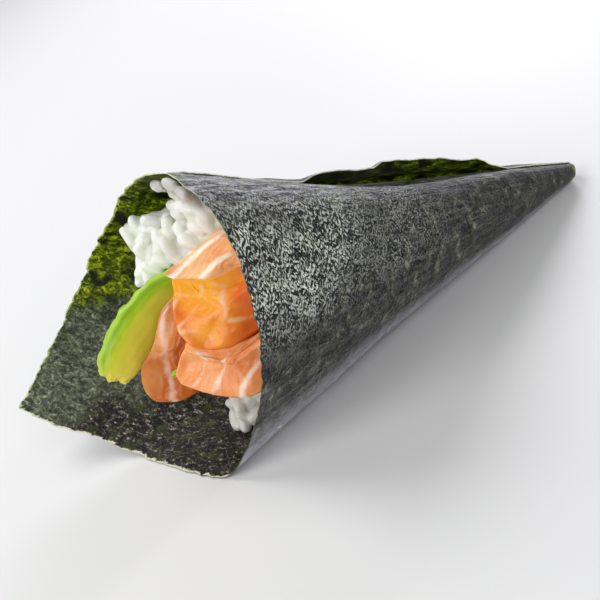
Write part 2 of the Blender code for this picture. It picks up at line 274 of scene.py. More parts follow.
def standoff(turn, rho):
    # mm between the sheet and the plain cone
    step = roll["layerStep"] * (0.62 + 0.38 * smoothStep(8.0, 30.0, rho))
    out = step * smoothStep(*roll["overlapTurns"], turn)
    out = out - drawnIn("sag", turn, rho) - drawnIn("tuck", turn, rho)
    loose = smoothStep(roll["flapFrom"] - 3.0, roll["flapFrom"] + 3.0, rho)
    loose = loose * (1.0 - smoothStep(roll["flapTo"] - 5.0, roll["flapTo"], rho))
    lift = smoothStep(roll["flapHinge"], roll["lastTurn"], turn) * loose
    return out + lift * (np.interp(rho, roll["flapAt"], roll["flapBy"]) - out)


def noiseAt(points, scale, seed):
    shift = Vector((seed * 7.31, seed * 3.17, seed * 1.93))
    return np.array([noise.noise(Vector(p) * scale + shift) for p in points])


nori = {
    "columns": 430, "rows": 104, "tipRows": 6,
    "thickness": 0.26,          # mm, a little over real nori so that its edge shows
    "ragged": 0.55,             # mm, how uneven the torn-looking edges are
    "relief": 0.10,             # mm, fine crinkles
    "swell": 0.30,              # mm, slow waves
    # mm from the mouth edge to the end of the body and to the last rows
    "bodyEnd": 2.6, "lip": [2.1, 1.6, 1.15, 0.75, 0.42, 0.18, 0.0],
    # size and mm forward of each ring that closes the tip
    "tipRings": [(0.10, 1.25), (0.34, 1.12), (0.58, 0.92), (0.78, 0.62), (0.92, 0.32), (0.985, 0.1)],
    # from where to where each look fades: turns in degrees, distances from the apex or an edge in mm
    "fades": {"flapTurns": (300.0, 326.0), "flapDark": (52.0, 60.0), "flapEnd": (76.0, 86.0),
              "curlWide": (0.9, 1.7), "curlFrom": (58.5, 61.0), "curlTo": (74.0, 79.0),
              "frontFrom": (28.0, 42.0), "frontTo": (60.0, 84.0), "mouthFrom": (45.0, 65.0),
              "mouthFull": (72.0, 92.0), "topTo": (26.0, 42.0), "lowerFrom": (108.0, 136.0),
              "lowerTo": (143.0, 158.0)},
}


def rimOfSheet(theta, turns):
    # the mouth edge with its unevenness, which is worse on the short edge at the back
    rim = mouthEdge(turns) + np.interp(turns, roll["growAt"], roll["growBy"])
    along = np.stack([rim * np.cos(theta), rim * np.sin(theta), np.zeros(len(rim))], axis=1)
    onBack = smoothStep(cornerAngle - 0.02, cornerAngle + 0.02, theta)
    jag = noiseAt(along, 0.12, 1) * 0.5 + noiseAt(along, 0.37, 2) + noiseAt(along, 0.83, 3) * 0.8
    nick = np.clip(noiseAt(along, 0.16, 4) - 0.28, 0.0, 1.0) * 5.0
    calmer = 1.0 - 0.6 * smoothStep(292.0, 300.0, turns)
    jag = nori["ragged"] * (jag * (0.75 + onBack) + nick * (0.3 + onBack)) * calmer
    return rim - np.clip(jag, -0.5, 3.0)


def rowDistances(rim):
    # how far each row lies from the apex: the tip's rings, the body, then close rows for the lip
    tip = np.full((nori["tipRows"], len(rim)), roll["tipCut"])
    lip = rim - np.array(nori["lip"])[:, None]
    share = np.linspace(0.0, 1.0, nori["rows"] - len(tip) - len(lip))[:, None]
    body = roll["tipCut"] + (rim - nori["bodyEnd"] - roll["tipCut"]) * share
    return np.concatenate([tip, body, lip])


def rollPoints(flat, rho, turn):
    # the flat sheet's points on the cone, with slow waves and fine crinkles
    plain = direction(turn) * rho[:, None]
    wave = noiseAt(plain, 0.07, 7) * 1.1 + noiseAt(plain, 0.16, 8) * 0.6
    crinkle = noiseAt(flat, 0.42, 9) * 0.8 + noiseAt(flat, 0.9, 10) * 0.7
    awayFromTip = smoothStep(10.0, 45.0, rho)
    offTable = smoothStep(0.6, 5.0, plain[:, 2])
    lift = standoff(turn, rho) + wave * nori["swell"] * awayFromTip * offTable
    lift = lift + crinkle * nori["relief"] * (0.35 + 0.65 * awayFromTip) * (0.3 + 0.7 * offTable)
    return plain + outward(turn) * lift[:, None]


def fade(name, value):
    return smoothStep(*nori["fades"][name], value)


def storeLooks(piece, rho, turns, toRim, toLast):
    # where each look lies on the sheet, from 0 to 1; the first two are mm
    setFloats(piece, "toRim", toRim)
    setFloats(piece, "fromTip", rho)
    setFloats(piece, "around", turns / 360.0)
    # painted shade under the loose last edge, and a painted sheen along the edge where it would curl
    underFlap = fade("flapTurns", turns) * (1.0 - fade("flapEnd", rho))
    setFloats(piece, "paintedFlapShade", underFlap * (0.35 + 0.5 * fade("flapDark", rho)))
    onCurl = fade("curlFrom", rho) * (1.0 - fade("curlTo", rho))
    setFloats(piece, "paintedCurlSheen", (1.0 - fade("curlWide", toLast)) * onCurl)
    # painted glints where the front is crumpled near the mouth
    onFront = fade("frontFrom", turns) * (1.0 - fade("frontTo", turns))
    nearMouth = 0.25 * fade("mouthFrom", rho) + 0.75 * fade("mouthFull", rho)
    setFloats(piece, "crumpleAndPaintedGlints", onFront * nearMouth)
    # painted sheen along the top
    setFloats(piece, "paintedTopSheen", 1.0 - fade("topTo", turns))
    # painted reflection along the lower side
    setFloats(piece, "paintedLowReflection", 0.9 * fade("lowerFrom", turns) * (1.0 - fade("lowerTo", turns)))


def setLayer(piece, name, places):
    layer = piece.data.uv_layers.get(name) or piece.data.uv_layers.new(name=name)
    corners = np.empty(len(piece.data.loops), dtype=int)
    piece.data.loops.foreach_get("vertex_index", corners)
    layer.data.foreach_set("uv", places[corners].ravel())


def turnOutward(piece, face):
    # faces point away from the filling
    centre = np.array(face.center) / mm - apex
    slope = centre / -centre[0]
    side = face.normal[1] * (slope[1] - roll["middle"][0]) + face.normal[2] * (slope[2] - roll["middle"][1])
    activate(piece)
    if side < 0.0:
        bpy.ops.object.mode_set(mode="EDIT")
        bpy.ops.mesh.select_all(action="SELECT")
        bpy.ops.mesh.flip_normals()
        bpy.ops.object.mode_set(mode="OBJECT")


def makeNori():
    columns, rows = nori["columns"], nori["rows"]
    bpy.ops.mesh.primitive_grid_add(x_subdivisions=columns - 1, y_subdivisions=rows - 1, size=2.0)
    piece = bpy.context.object
    piece.name = "noriSheet"
    grid = getPoints(piece)
    column = np.rint((grid[:, 0] + 1.0) / 2.0 * (columns - 1)).astype(int)
    row = np.rint((grid[:, 1] + 1.0) / 2.0 * (rows - 1)).astype(int)

    ends = np.interp([roll["firstTurn"], roll["lastTurn"]], turnTable, sheetAngle)
    theta = np.linspace(ends[0], ends[1], columns)
    turns = np.interp(theta, sheetAngle, turnTable)
    rim = rimOfSheet(theta, turns)
    rho = rowDistances(rim)[row, column]
    flat = np.stack([rho * np.cos(theta[column]), rho * np.sin(theta[column]), np.zeros(len(rho))], axis=1)

    # the loose last edge is uneven too
    turn = turns[column]
    edge = np.stack([rho, rho * 0 + 50.0, rho * 0], axis=1)
    jag = noiseAt(edge, 0.35, 5) * 0.8 + noiseAt(edge, 1.1, 6) * 0.5
    nearLast = np.clip(1.0 - (columns - 1 - column) / 8.0, 0.0, 1.0)
    perDegree = np.interp(turn, turnTable[1:], np.diff(sheetAngle) / turnStep)
    turn = turn - nearLast * np.clip(jag * 0.55, -0.1, 1.5) / np.maximum(rho * perDegree, 0.05)
    points = rollPoints(flat, rho, turn)

    # the tip closes over in a small rounded end
    middle = np.array([-1.0, *roll["middle"]]) * roll["tipCut"]
    for k, (scale, forward) in enumerate(nori["tipRings"]):
        ring = row == k
        points[ring] = middle + (points[ring] - middle) * scale + np.array([forward, 0.0, 0.0])
        flat[ring] *= 0.2 + 0.13 * k
    points[:, 2] = np.maximum(points[:, 2], nori["thickness"] * 0.5 + 0.02)
    setPoints(piece, toModel(points))

    piece.data.uv_layers.active.name = "sheet"
    setLayer(piece, "sheet", flat[:, :2])
    setLayer(piece, "run", np.stack([rho, theta[column] * 60.0], axis=1))
    toRim = np.minimum(rim[column] - rho, 40.0)
    toLast = np.minimum((theta[-1] - theta[column]) * rho, 40.0)
    storeLooks(piece, rho, turns[column], toRim, toLast)
    turnOutward(piece, piece.data.polygons[(rows // 2) * (columns - 1) + columns // 3])
    for mat in (noriOuterMaterial(), noriInnerMaterial(), noriEdgeMaterial()):
        piece.data.materials.append(mat)
    shell = piece.modifiers.new("wall", "SOLIDIFY")
    shell.thickness = nori["thickness"] * mm
    shell.offset = 0.0
    shell.material_offset = 1
    shell.material_offset_rim = 2
    applyModifier(piece, "wall")
    bpy.ops.object.shade_smooth()
    return piece


sheetPatterns = {
    # layer, stretch, turn, shift, scale per mm, detail, roughness, distortion
    "cloud": ("sheet", (1.0, 1.0), 0.0, 0.0, 0.07, 3.0, 0.6, 0.0),
    "mottle": ("sheet", (0.7, 1.0), 0.4, 3.0, 0.30, 4.0, 0.6, 0.8),
    "patch": ("sheet", (1.0, 1.0), 0.0, 9.0, 0.26, 3.0, 0.55, 0.3),
    "cluster": ("sheet", (1.0, 1.0), 0.0, 9.0, 0.30, 4.0, 0.55, 0.3),
    "fibre": ("sheet", (0.75, 1.15), 0.7, 0.0, 0.75, 4.0, 0.62, 1.0),
    "short": ("sheet", (0.55, 1.25), -0.9, 5.0, 0.95, 3.0, 0.62, 1.0),
    "speck": ("sheet", (1.0, 1.0), 0.0, 0.0, 1.4, 3.0, 0.7, 0.6),
    "streak": ("run", (0.16, 1.1), 0.0, 0.0, 1.0, 4.0, 0.6, 0.5),
    "crumple": ("run", (1.05, 0.7), 0.8, 0.0, 1.0, 4.0, 0.60, 2.2),
    "crumpleBeside": ("run", (1.05, 0.7), 0.8, 0.2, 1.0, 4.0, 0.60, 2.2),
    "wrinkle": ("sheet", (0.7, 1.1), 0.9, 0.0, 0.8, 4.0, 0.62, 1.0),
    "wrinkleBeside": ("sheet", (0.7, 1.1), 0.9, 0.24, 0.8, 4.0, 0.62, 1.0),
}


def addPatterns(tree, *names):
    # noises laid on the sheet in mm, one per name
    found = []
    for name in names:
        layer, stretch, turn, shift, scale, detail, roughness, distortion = sheetPatterns[name]
        place = addNode(tree, "Mapping", {
            "Vector": addNode(tree, "UVMap", uv_map=layer), "Location": (shift, -0.4 * shift, 0.0),
            "Rotation": (0.0, 0.0, turn), "Scale": (*stretch, 1.0)})
        found.append(addNode(tree, "TexNoise", {
            "Vector": place, "Scale": scale, "Detail": detail, "Roughness": roughness,
            "Distortion": distortion}))
    return found


# roasted seaweed, outer side: near-black green with soft olive mottling, painted glints and painted shade
# where it is crumpled, a painted lavender-grey sheen along the top and a painted pale reflection along the
# lower side
def noriOuterMaterial():
    mat, tree = newMaterial("noriRoastedOuter")
    cloud, mottle, cluster, fibre, speck, streak = addPatterns(
        tree, "cloud", "mottle", "cluster", "fibre", "speck", "streak")
    crumple, crumpleBeside, wrinkle, wrinkleBeside = addPatterns(
        tree, "crumple", "crumpleBeside", "wrinkle", "wrinkleBeside")
    crumpleAndPaintedGlints, paintedTopSheen, paintedLowReflection, fromTip = [addNode(tree, "Attribute", attribute_name=name).outputs["Fac"]
                                   for name in ("crumpleAndPaintedGlints", "paintedTopSheen", "paintedLowReflection", "fromTip")]
    # calm parts: olive mottling with pale grey streaks along the cone, turned into a painted sheen along the
    # top
    shade = addNode(tree, "Mix", {0: 0.45, 2: mottle, 3: fibre})
    olive = setRamp(addNode(tree, "ValToRGB", {"Fac": shade}), [
        (0.40, "#030402"), (0.47, "#0c0e08"), (0.52, "#21241a"), (0.57, "#414435"), (0.64, "#83856e")])
    reach = addNode(tree, "MapRange", {"Value": paintedTopSheen, "To Min": 0.10, "To Max": 1.0})
    streaksAndSheen = addNode(tree, "MapRange", {"Value": streak, "From Min": 0.5, "From Max": 0.63, "To Max": reach})
    calm = addNode(tree, "Mix", {0: streaksAndSheen, 6: olive, 7: "#c4c2c5"}, data_type="RGBA")
    # crumpled parts, painted light and shade: one noise minus its shifted twin paints each crease a lit and a
    # shaded side
    lean = addNode(tree, "Math", {0: crumple, 1: crumpleBeside}, operation="SUBTRACT")
    other = addNode(tree, "Math", {0: wrinkle, 1: wrinkleBeside}, operation="SUBTRACT")
    lean = addNode(tree, "Math", {0: other, 1: 0.8, 2: lean}, operation="MULTIPLY_ADD")
    fine = addNode(tree, "Math", {0: speck, 1: 0.5}, operation="SUBTRACT")
    grouped = addNode(tree, "Math", {0: cluster, 1: 2.2, 2: -0.62}, operation="MULTIPLY_ADD")
    grain = addNode(tree, "Math", {0: fine, 1: 0.4, 2: grouped}, operation="MULTIPLY_ADD")
    side = addNode(tree, "Math", {0: lean, 1: 5.0, 2: grain}, operation="MULTIPLY_ADD")
    paintedCreaseLight = setRamp(addNode(tree, "ValToRGB", {"Fac": side}), [
        (0.22, "#040504"), (0.40, "#11140e"), (0.54, "#363c2e"), (0.66, "#7f8a72"), (0.78, "#e2ecd2"),
        (0.92, "#fdfff2")])
    patchy = addNode(tree, "MapRange", {"Value": cloud, "From Min": 0.36, "From Max": 0.58, "To Min": 0.4})
    # painted glints lie on the crumpled front, and more lightly along the top
    glintsHere = addNode(tree, "Math", {0: paintedTopSheen, 1: 0.22, 2: crumpleAndPaintedGlints}, operation="MULTIPLY_ADD")
    where = addNode(tree, "Math", {0: patchy, 1: glintsHere}, operation="MULTIPLY")
    zone = addNode(tree, "Math", {0: where, 1: 0.92, 2: 0.06}, operation="MULTIPLY_ADD")
    mixed = addNode(tree, "Mix", {0: zone, 6: calm, 7: paintedCreaseLight}, data_type="RGBA")
    # painted reflection: the side turned under is painted pale grey where the table would reflect in it
    lowReflectionMottle = addNode(tree, "MapRange", {"Value": mottle, "From Min": 0.3, "From Max": 0.62, "To Min": 0.55})
    lowReflection = addNode(tree, "Math", {0: lowReflectionMottle, 1: paintedLowReflection}, operation="MULTIPLY")
    withLowReflection = addNode(tree, "Mix", {0: lowReflection, 6: mixed, 7: "#bdbcc2"}, data_type="RGBA")
    # painted glow: the very tip is a single thin layer, painted yellow-green for the light coming through it
    unevenTipGlow = addNode(tree, "Math", {0: fibre, 1: 6.0, 2: fromTip}, operation="MULTIPLY_ADD")
    tip = addNode(tree, "MapRange", {"Value": unevenTipGlow, "From Min": 11.0, "From Max": 9.6})
    withTipGlow = addNode(tree, "Mix", {0: tip, 6: withLowReflection, 7: "#a8ab55"}, data_type="RGBA")
    # dents, then creases where it is crisp, then brushed streaks and grit, each laid over the last
    ridges = addNode(tree, "MapRange", {"Value": crumpleAndPaintedGlints, "To Min": 0.3, "To Max": 1.0})
    relief = addNode(tree, "Bump", {"Strength": 1.0, "Distance": 0.0028, "Height": mottle})
    for strength, deep, height in ((ridges, 0.0009, crumple), (0.9, 0.0009, streak), (0.7, 0.00025, speck)):
        relief = addNode(tree, "Bump", {"Strength": strength, "Distance": deep, "Height": height,
                                        "Normal": relief})
    rough = addNode(tree, "MapRange", {"Value": streak, "From Min": 0.38, "From Max": 0.62, "To Min": 0.52,
                                       "To Max": 0.20})
    surface = addNode(tree, "BsdfPrincipled", {
        "Base Color": withTipGlow, "Roughness": rough, "IOR": 1.5, "Specular IOR Level": 0.2, "Normal": relief,
        "Sheen Weight": 0.12, "Sheen Roughness": 0.35, "Sheen Tint": "#dcd8e0"})
    addNode(tree, "OutputMaterial", {"Surface": surface})
    return mat


# roasted seaweed, inner side: brown-black below, grey-green specks toward the open corner, and thin
# spots near the short edge painted bright yellow-green as a painted glow, with some real subsurface light as
# well
def noriInnerMaterial():
    mat, tree = newMaterial("noriRoastedInner")
    cloud, patch, fibre, short, speck = addPatterns(tree, "cloud", "patch", "fibre", "short", "speck")
    around, paintedFlapShade, paintedCurlSheen, toRim = [addNode(tree, "Attribute", attribute_name=name).outputs["Fac"]
                                      for name in ("around", "paintedFlapShade", "paintedCurlSheen", "toRim")]
    place = addNode(tree, "Math", {0: cloud, 1: 0.16, 2: around}, operation="MULTIPLY_ADD")
    shortShade = addNode(tree, "Mix", {0: 0.4, 2: short, 3: speck})
    brown = setRamp(addNode(tree, "ValToRGB", {"Fac": shortShade}), [
        (0.38, "#060504"), (0.47, "#13110e"), (0.54, "#36322a"), (0.60, "#7c776d"), (0.66, "#c4bfb9")])
    shade = addNode(tree, "Mix", {0: 0.35, 2: fibre, 3: speck})
    grey = setRamp(addNode(tree, "ValToRGB", {"Fac": shade}), [
        (0.36, "#1c2015"), (0.46, "#3f4334"), (0.54, "#666b56"), (0.62, "#999f89"), (0.70, "#ccd2bc")])
    paintedGlowGreen = setRamp(addNode(tree, "ValToRGB", {"Fac": shade}), [
        (0.36, "#131704"), (0.46, "#333c06"), (0.54, "#76840f"), (0.61, "#b4c01a"), (0.68, "#d4dc38")])
    mossy = addNode(tree, "MapRange", {"Value": patch, "From Min": 0.52, "From Max": 0.66, "To Max": 0.55})
    brown = addNode(tree, "Mix", {0: mossy, 6: brown, 7: "#47521d"}, data_type="RGBA")
    greyOn = addNode(tree, "MapRange", {"Value": place, "From Min": 0.67, "From Max": 0.73},
                     interpolation_type="SMOOTHSTEP")
    ground = addNode(tree, "Mix", {0: greyOn, 6: brown, 7: grey}, data_type="RGBA")
    greenOn = addNode(tree, "MapRange", {"Value": place, "From Min": 0.78, "From Max": 0.83},
                      interpolation_type="SMOOTHSTEP")
    darker = addNode(tree, "Mix", {0: greenOn, 6: ground, 7: "#1d2209"}, data_type="RGBA")
    # painted glow: thin spots in the open corner are painted bright for light coming through
    patchOn = addNode(tree, "MapRange", {"Value": patch, "From Min": 0.40, "From Max": 0.58})
    thin = addNode(tree, "Math", {0: greenOn, 1: patchOn}, operation="MULTIPLY")
    withPaintedGlow = addNode(tree, "Mix", {0: thin, 6: darker, 7: paintedGlowGreen}, data_type="RGBA")
    # painted shade under the loose last edge, and a painted sheen: the edge is painted grey as if curled to
    # show its lit side
    shadedUnderFlap = addNode(tree, "Mix", {0: paintedFlapShade, 6: withPaintedGlow, 7: "#15160f"}, data_type="RGBA")
    withCurlSheen = addNode(tree, "Mix", {0: paintedCurlSheen, 6: shadedUnderFlap, 7: "#8a8a8b"}, data_type="RGBA")
    # painted glow: the cut shows as a pale, uneven line along the edge, as light coming through the thin
    # sheet
    uneven = addNode(tree, "Math", {0: fibre, 1: -2.6, 2: toRim}, operation="MULTIPLY_ADD")
    lip = addNode(tree, "MapRange", {"Value": uneven, "From Min": -0.80, "From Max": -0.98})
    edgeGlowColour = setRamp(addNode(tree, "ValToRGB", {"Fac": place}), [
        (0.70, "#dedbc4"), (0.75, "#b9c383"), (0.9, "#a8b468")])
    edged = addNode(tree, "Mix", {0: lip, 6: withCurlSheen, 7: edgeGlowColour}, data_type="RGBA")
    ridge = addNode(tree, "Bump", {"Strength": 1.0, "Distance": 0.0006, "Height": shade})
    glow = addNode(tree, "Math", {0: thin, 1: 0.45}, operation="MULTIPLY")
    surface = addNode(tree, "BsdfPrincipled", {
        "Base Color": edged, "Roughness": 0.40, "IOR": 1.45, "Specular IOR Level": 0.2, "Normal": ridge,
        "Subsurface Weight": glow, "Subsurface Radius": (0.9, 1.0, 0.3), "Subsurface Scale": 0.0015})
    addNode(tree, "OutputMaterial", {"Surface": surface})
    return mat


# the cut edge: a matt line with a painted pale green glow where it is thin, dark at the front, cream near the
# table
def noriEdgeMaterial():
    mat, tree = newMaterial("noriCutEdge")
    fibre = addPatterns(tree, "fibre")[0]
    around = addNode(tree, "Attribute", attribute_name="around").outputs["Fac"]
    colour = setRamp(addNode(tree, "ValToRGB", {"Fac": around}), [
        (0.0, "#d2d8b4"), (0.10, "#bcc3a0"), (0.17, "#4b513d"), (0.42, "#494e3b"), (0.47, "#d6d3ba"),
        (0.62, "#e2dfc8"), (0.68, "#c4cd84"), (0.92, "#c6cf86"), (0.99, "#e2e4cc")])
    fade = addNode(tree, "MapRange", {"Value": fibre, "From Min": 0.40, "From Max": 0.60, "To Min": 0.45,
                                      "To Max": 0.0})
    mixed = addNode(tree, "Mix", {0: fade, 6: colour, 7: "#3a4028"}, data_type="RGBA")
    surface = addNode(tree, "BsdfPrincipled", {"Base Color": mixed, "Roughness": 0.6})
    addNode(tree, "OutputMaterial", {"Surface": surface})
    return mat


noriSheet = makeNori()
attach(noriSheet, "root")
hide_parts("nori")
print("nori:", len(noriSheet.data.polygons), "faces")


def copyNode(node, name):
    source = frame["nodes"][node]
    piece = source.copy()
    piece.data = source.data.copy()
    piece.name = name
    piece.data.materials.clear()
    bpy.context.scene.collection.objects.link(piece)
    piece.hide_render = False
    activate(piece)
    bpy.ops.object.mode_set(mode="EDIT")
    bpy.ops.mesh.select_all(action="SELECT")
    bpy.ops.mesh.remove_doubles(threshold=1e-6)
    bpy.ops.mesh.tris_convert_to_quads(face_threshold=math.radians(50), shape_threshold=math.radians(50))
    bpy.ops.object.mode_set(mode="OBJECT")
    return piece


def soften(piece, rounds):
    smooth = piece.modifiers.new("soften", "SMOOTH")
    smooth.factor = 0.5
    smooth.iterations = rounds
    applyModifier(piece, "soften")


def remesh(piece, size):
    even = piece.modifiers.new("even", "REMESH")
    even.mode = "VOXEL"
    even.voxel_size = size * mm
    applyModifier(piece, "even")


def refine(piece, levels, rounds):
    fine = piece.modifiers.new("fine", "SUBSURF")
    fine.subdivision_type = "SIMPLE"
    fine.levels = fine.render_levels = levels
    applyModifier(piece, "fine")
    soften(piece, rounds)
    bpy.ops.object.shade_smooth()


def pushOut(piece, lift):
    # moves every point along its normal, mm
    setPoints(piece, getPoints(piece) + getNormals(piece) * (lift * mm)[:, None])


def slopes(points):
    # (across, up, distance) of model points: the first two per mm of distance from the apex
    local = points / mm - apex
    return np.stack([local[:, 1] / -local[:, 0], local[:, 2] / -local[:, 0], -local[:, 0]], axis=1)


def fromSlopes(spots):
    # the way back, to mm from the apex
    return [[-far, across * far, up * far] for across, up, far in spots]


salmon = {
    "lineDepth": 0.12,      # how fast a fat line fades going in from the outer face
    "lumps": 0.22,          # mm
    # deeper: painted shade, from where to where (across) the colour deepens toward the front wall, and how
    # much.
    # layers: (across, up) direction that crosses the muscle layers. lines: fat lines as (across, up) points,
    # with both ends' half widths, mm
    "slices": {
        "salmon_top": {
            "name": "salmonTopSlice", "softening": 3, "turn": (0.3, 0.2, 0.4),
            "threads": 0.20, "ribs": 0.3,
            "flesh": "#fab274", "deep": "#f39b58", "bright": "#fdc688", "fat": "#fff2e0",
            "deeper": (-0.17, -0.27, 0.3), "layers": (0.87, 0.49),
            "lines": [([(-0.139, 0.402), (-0.154, 0.424), (-0.171, 0.445), (-0.198, 0.467)], 0.55, 0.3),
                      ([(-0.076, 0.388), (-0.088, 0.405), (-0.112, 0.438), (-0.126, 0.464),
                        (-0.147, 0.49)], 0.55, 0.4)]},
        "salmon_middle": {
            "name": "salmonMiddleSlice", "softening": 30, "turn": (0.9, 0.1, 1.4),
            "threads": 0.03, "ribs": 0.05,
            "flesh": "#f39233", "deep": "#e0661b", "bright": "#ffae2c", "fat": "#f8c49a",
            "deeper": (-0.16, -0.25, 1.0), "layers": (0.98, 0.17),
            "lines": [([(-0.129, 0.376), (-0.127, 0.35), (-0.126, 0.329), (-0.12, 0.314),
                        (-0.116, 0.303)], 0.22, 0.25),
                      ([(-0.153, 0.388), (-0.174, 0.361), (-0.184, 0.335), (-0.199, 0.316), (-0.221, 0.319),
                        (-0.24, 0.32)], 0.24, 0.2),
                      ([(-0.084, 0.37), (-0.086, 0.335), (-0.094, 0.30), (-0.108, 0.27)], 0.15, 0.15),
                      ([(-0.110, 0.297), (-0.128, 0.292), (-0.150, 0.286), (-0.172, 0.276)], 0.12, 0.12)]},
        "salmon_lower": {
            "name": "salmonLowerSlice", "softening": 8, "turn": (0.2, 1.1, 0.3),
            "threads": 0.12, "ribs": 0.25,
            "flesh": "#ef9553", "deep": "#dc7b3c", "bright": "#f5aa6e", "fat": "#f7dcca",
            "deeper": (-0.17, -0.27, 0.4), "layers": (0.96, -0.28),
            "lines": [([(-0.146, 0.25), (-0.165, 0.238), (-0.161, 0.218), (-0.160, 0.20)], 0.2, 0.32),
                      ([(-0.189, 0.252), (-0.203, 0.23), (-0.198, 0.207), (-0.196, 0.19)], 0.2, 0.36),
                      ([(-0.265, 0.28), (-0.255, 0.231), (-0.249, 0.193), (-0.247, 0.17)], 0.25, 0.5)]},
        "salmon_left": {
            "name": "salmonLeftSlice", "softening": 10, "turn": (1.2, 0.4, 0.8),
            "threads": 0.10, "ribs": 0.2,
            "flesh": "#d58a4e", "deep": "#b85c14", "bright": "#e2a064", "fat": "#eccab4",
            "deeper": (-0.055, -0.085, 1.0), "layers": (0.93, -0.36),
            "lines": [([(-0.012, 0.34), (-0.018, 0.32), (-0.027, 0.296), (-0.043, 0.269), (-0.059, 0.24),
                        (-0.073, 0.208), (-0.085, 0.176), (-0.091, 0.155), (-0.096, 0.13)], 0.28, 0.36)]},
    },
}


def lineDistance(spots, line, startHalf, endHalf):
    # distance in mm from points (across, up, distance) to a line laid on the slice's outer face
    laid = []
    for y, z in line:
        gap = np.hypot(spots[:, 0] - y, spots[:, 1] - z)
        laid.append((y, z, spots[gap < gap.min() + 0.012, 2].max()))
    laid = np.array([(-s * salmon["lineDepth"], y * s, z * s) for y, z, s in laid])
    across, up, far = spots.T
    here = np.stack([-far * salmon["lineDepth"], across * far, up * far], axis=1)
    lengths = np.linalg.norm(np.diff(laid, axis=0), axis=1)
    before, best = 0.0, np.full(len(spots), 99.0)
    for a, b, length in zip(laid[:-1], laid[1:], lengths):
        along = np.clip((here - a) @ (b - a) / length ** 2, 0.0, 1.0)
        gap = np.linalg.norm(here - a - along[:, None] * (b - a), axis=1)
        share = (before + along * length) / lengths.sum()
        best = np.minimum(best, gap - (startHalf + (endHalf - startHalf) * share))
        before += length
    return best


def pressUp(piece, tree, reach, gap):
    # lets the upper side of a slice swell until it touches the slice lying on it
    points, normals = getPoints(piece), getNormals(piece)
    rise = np.zeros(len(points))
    for i in np.nonzero(normals[:, 2] > -0.2)[0]:
        hit = tree.ray_cast(Vector(points[i]), Vector((0, 0, 1)), reach * mm)
        if hit[0] is not None and hit[1].z < 0.0:
            rise[i] = max(hit[3] / mm - gap, 0.0)
    points[:, 2] += spread(piece, rise, 8) * mm
    setPoints(piece, points)


# raw salmon: wet, slightly see-through orange flesh with faint pale threads, crossed by soft-edged
# cream bands of fat
def salmonMaterial(look):
    mat, tree = newMaterial(look["name"] + "Raw")
    where = addNode(tree, "TexCoord")
    spot = addNode(tree, "Mapping", {"Vector": where.outputs["Object"], "Rotation": look["turn"]})
    wobble = addNode(tree, "TexNoise", {"Vector": spot, "Scale": 420.0, "Detail": 3.0})
    cloud = addNode(tree, "TexNoise", {"Vector": spot, "Scale": 110.0, "Detail": 3.0})
    grit = addNode(tree, "TexNoise", {"Vector": spot, "Scale": 1500.0, "Detail": 2.0})
    layer, fatLine, paintedWallShade, lip = [addNode(tree, "Attribute", attribute_name=name).outputs["Fac"]
                                   for name in ("layer", "fatLine", "paintedWallShade", "lip")]
    # threads follow the muscle layers, a little wobbly and broken up
    drift = addNode(tree, "Math", {0: cloud, 1: 3.0, 2: layer}, operation="MULTIPLY_ADD")
    drift = addNode(tree, "Math", {0: wobble, 1: 0.5, 2: drift}, operation="MULTIPLY_ADD")
    phase = addNode(tree, "Math", {0: drift, 1: 5.6}, operation="MULTIPLY")
    wave = addNode(tree, "Math", {0: phase}, operation="SINE")
    thread = addNode(tree, "MapRange", {"Value": wave, "From Min": 0.45, "From Max": 1.0,
                                        "To Max": look["threads"]})
    patchy = addNode(tree, "MapRange", {"Value": wobble, "From Min": 0.35, "From Max": 0.6})
    threads = addNode(tree, "Math", {0: thread, 1: patchy}, operation="MULTIPLY")
    shifted = addNode(tree, "Math", {0: wobble, 1: 0.7, 2: fatLine}, operation="MULTIPLY_ADD")
    fatness = addNode(tree, "MapRange", {"Value": shifted, "From Min": 0.72, "From Max": 0.12,
                                         "To Max": 0.92}, interpolation_type="SMOOTHSTEP")
    colour = setRamp(addNode(tree, "ValToRGB", {"Fac": cloud}), [
        (0.34, look["deep"]), (0.5, look["flesh"]), (0.66, look["bright"])])
    # painted shade toward the nori wall and a painted highlight on the lip, then the flesh's own threads and
    # fat
    for amount, tint in ((paintedWallShade, "deep"), (lip, "bright"), (threads, "fat"), (fatness, "fat")):
        colour = addNode(tree, "Mix", {0: amount, 6: colour, 7: look[tint]}, data_type="RGBA")
    relief = addNode(tree, "Bump", {"Strength": 0.5, "Distance": 0.0003, "Height": wobble})
    for strength, deep, height in ((look["ribs"], 0.00012, wave), (0.6, 0.00009, grit)):
        relief = addNode(tree, "Bump", {"Strength": strength, "Distance": deep, "Height": height,
                                        "Normal": relief})
    surface = addNode(tree, "BsdfPrincipled", {
        "Base Color": colour, "Roughness": 0.24, "IOR": 1.38, "Normal": relief, "Specular IOR Level": 0.35,
        "Subsurface Weight": 0.25, "Subsurface Radius": (1.0, 0.35, 0.08), "Subsurface Scale": 0.0012})
    addNode(tree, "OutputMaterial", {"Surface": surface})
    return mat


